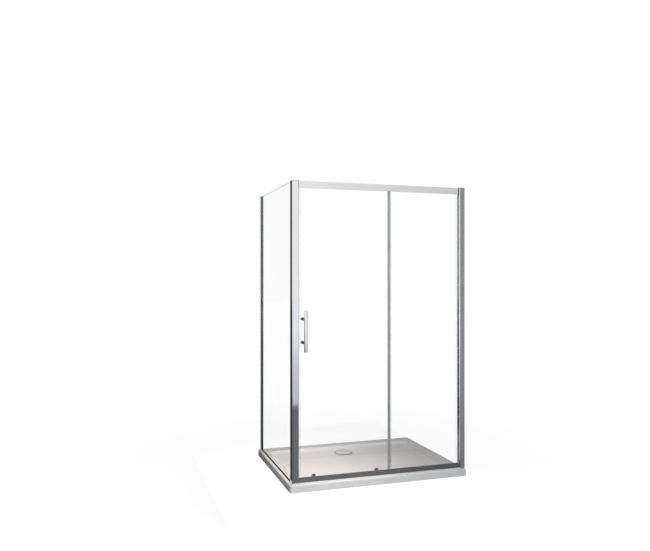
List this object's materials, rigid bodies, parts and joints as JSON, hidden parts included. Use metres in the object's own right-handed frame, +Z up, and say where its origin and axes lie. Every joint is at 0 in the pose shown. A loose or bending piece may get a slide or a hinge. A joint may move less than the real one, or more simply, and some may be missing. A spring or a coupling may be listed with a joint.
{
  "type": "shower enclosure with sliding door",
  "caption": "Corner shower enclosure with a clear sliding door, fixed pane, side pane, bright metal frame and low tray with a round waste.",
  "frame": {"origin": "centre of the tray's underside, on the floor", "axes": "+X along the front to the right, +Y back into the shower, +Z up"},
  "size_m": [1.2, 0.912, 1.8975],
  "materials": {
    "tray": "gloss, white acrylic",
    "polished_frame": "polished, bright silver",
    "satin_frame": "satin anodised silver",
    "glass": "clear, smooth",
    "clear_seal": "clear soft seal",
    "magnet": "dark, inside the seal",
    "rubber": "black, matt",
    "grey_plastic": "grey, fine grain",
    "black_plastic": "black, fine grain",
    "chrome": "mirror plated",
    "steel": "bright, lightly brushed",
    "wheel": "white, hard",
    "clear_washer": "clear"
  },
  "bodies": {
    "enclosure": {"shower_tray": "tray", "waste_flange": "steel", "corner_post": "polished_frame", "corner_post_cap": "grey_plastic", "post_magnet_strip": "clear_seal", "post_magnet_core": "magnet", "top_rail": "polished_frame", "rail_joint_cover": "black_plastic", "bottom_rail": "polished_frame", "sill_infill": "polished_frame", "frame_screws": "steel", "fixed_upright": "polished_frame", "wall_profile_right": "satin_frame", "right_cap": "grey_plastic", "wall_profile_side": "satin_frame", "side_glazing_profile": "satin_frame", "side_cap": "grey_plastic", "fixed_glass": "glass", "fixed_glass_stile": "satin_frame", "overlap_seal": "clear_seal", "glazing_gaskets": "rubber", "setting_blocks": "black_plastic", "side_glass": "glass", "side_bottom_seal": "rubber", "corner_buffer": "rubber", "track_end_stops": "rubber", "adjustment_screws": "steel", "screw_cover_caps": "grey_plastic"},
    "door": {"door_glass": "glass", "door_magnet_seal": "clear_seal", "door_magnet_core": "magnet", "door_trailing_seal": "clear_seal", "handle_bar": "chrome", "handle_standoffs": "chrome", "handle_inner_knobs": "chrome", "handle_washers": "clear_washer", "handle_bolts": "steel", "hanger_left": "steel", "hanger_right": "steel", "hanger_axles": "steel", "hanger_bolts": "steel", "guide_body_left": "grey_plastic", "guide_body_right": "grey_plastic", "guide_bolts": "steel", "guide_spring_left": "steel", "guide_spring_right": "steel"},
    "top_wheel_1": {"top_wheel_1": "wheel", "top_bearing_1": "steel"},
    "top_wheel_2": {"top_wheel_2": "wheel", "top_bearing_2": "steel"},
    "top_wheel_3": {"top_wheel_3": "wheel", "top_bearing_3": "steel"},
    "top_wheel_4": {"top_wheel_4": "wheel", "top_bearing_4": "steel"},
    "guide_plunger_left": {"guide_plunger_left": "black_plastic"},
    "bottom_wheel_left": {"bottom_wheel_left": "wheel"},
    "guide_plunger_right": {"guide_plunger_right": "black_plastic"},
    "bottom_wheel_right": {"bottom_wheel_right": "wheel"},
    "waste_cover": {"waste_cover": "tray"}
  },
  "joints": [
    {"name": "door_slide", "type": "slide", "parent": "enclosure", "child": "door", "axis": [1, 0, 0], "range_m": [0, 0.47]},
    {"name": "top_wheel_1_spin", "type": "hinge", "parent": "door", "child": "top_wheel_1", "pos_m": [-0.453, -0.3877, 1.87305], "axis": [0, 1, 0], "range_deg": [0, 2600]},
    {"name": "top_wheel_2_spin", "type": "hinge", "parent": "door", "child": "top_wheel_2", "pos_m": [-0.413, -0.3877, 1.87305], "axis": [0, 1, 0], "range_deg": [0, 2600]},
    {"name": "top_wheel_3_spin", "type": "hinge", "parent": "door", "child": "top_wheel_3", "pos_m": [-0.033, -0.3877, 1.87305], "axis": [0, 1, 0], "range_deg": [0, 2600]},
    {"name": "top_wheel_4_spin", "type": "hinge", "parent": "door", "child": "top_wheel_4", "pos_m": [0.007, -0.3877, 1.87305], "axis": [0, 1, 0], "range_deg": [0, 2600]},
    {"name": "guide_release_left", "type": "slide", "parent": "door", "child": "guide_plunger_left", "axis": [0, 0, 1], "range_m": [0, 0.006], "stiffness_N_per_m": 500, "springref_m": -0.004, "deforming": ["guide_spring_left"]},
    {"name": "guide_release_right", "type": "slide", "parent": "door", "child": "guide_plunger_right", "axis": [0, 0, 1], "range_m": [0, 0.006], "stiffness_N_per_m": 500, "springref_m": -0.004, "deforming": ["guide_spring_right"]},
    {"name": "bottom_wheel_left_spin", "type": "hinge", "parent": "guide_plunger_left", "child": "bottom_wheel_left", "pos_m": [-0.433, -0.3877, 0.06415], "axis": [0, 1, 0], "range_deg": [0, 4600]},
    {"name": "bottom_wheel_right_spin", "type": "hinge", "parent": "guide_plunger_right", "child": "bottom_wheel_right", "pos_m": [-0.013, -0.3877, 0.06415], "axis": [0, 1, 0], "range_deg": [0, 4600]},
    {"name": "waste_lift", "type": "slide", "parent": "enclosure", "child": "waste_cover", "axis": [0, 0, 1], "range_m": [0, 0.03]}
  ],
  "couplings": [
    {"joint": "top_wheel_1_spin", "follows": "door_slide", "rad_per_m": 95.238},
    {"joint": "top_wheel_2_spin", "follows": "door_slide", "rad_per_m": 95.238},
    {"joint": "top_wheel_3_spin", "follows": "door_slide", "rad_per_m": 95.238},
    {"joint": "top_wheel_4_spin", "follows": "door_slide", "rad_per_m": 95.238},
    {"joint": "bottom_wheel_left_spin", "follows": "door_slide", "rad_per_m": 166.67},
    {"joint": "bottom_wheel_right_spin", "follows": "door_slide", "rad_per_m": 166.67}
  ]
}
